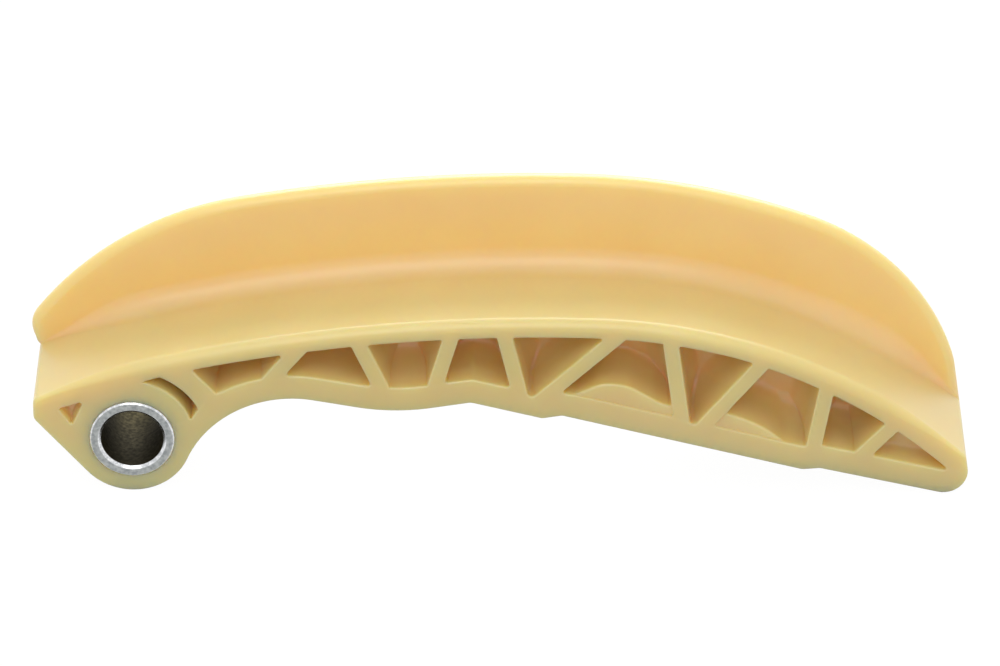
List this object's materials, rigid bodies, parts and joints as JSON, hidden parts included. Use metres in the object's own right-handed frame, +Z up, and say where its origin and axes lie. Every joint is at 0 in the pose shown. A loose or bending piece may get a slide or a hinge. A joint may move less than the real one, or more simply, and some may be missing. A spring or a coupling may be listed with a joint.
{
  "type": "timing chain guide",
  "caption": "Curved one-piece nylon guide rail for a timing chain, with a convex track, a tall side flange, a ribbed truss side and a pivot boss with a pressed-in steel sleeve.",
  "frame": {"origin": "middle of the footprint, on the surface that the boss and the toe rest on", "axes": "+X along the track from the pivot end to the toe, +Y from the ribbed face to the flange side, +Z up, out of the chain track"},
  "size_m": [0.1332, 0.0192, 0.0417],
  "materials": {
    "nylon": "natural nylon 6/6, cream to amber, satin gloss, slightly translucent",
    "sleeve": "zinc-plated steel, faced and chamfered ends"
  },
  "bodies": {
    "root": {"guide_body": "nylon", "pivot_sleeve": "sleeve"}
  },
  "joints": []
}
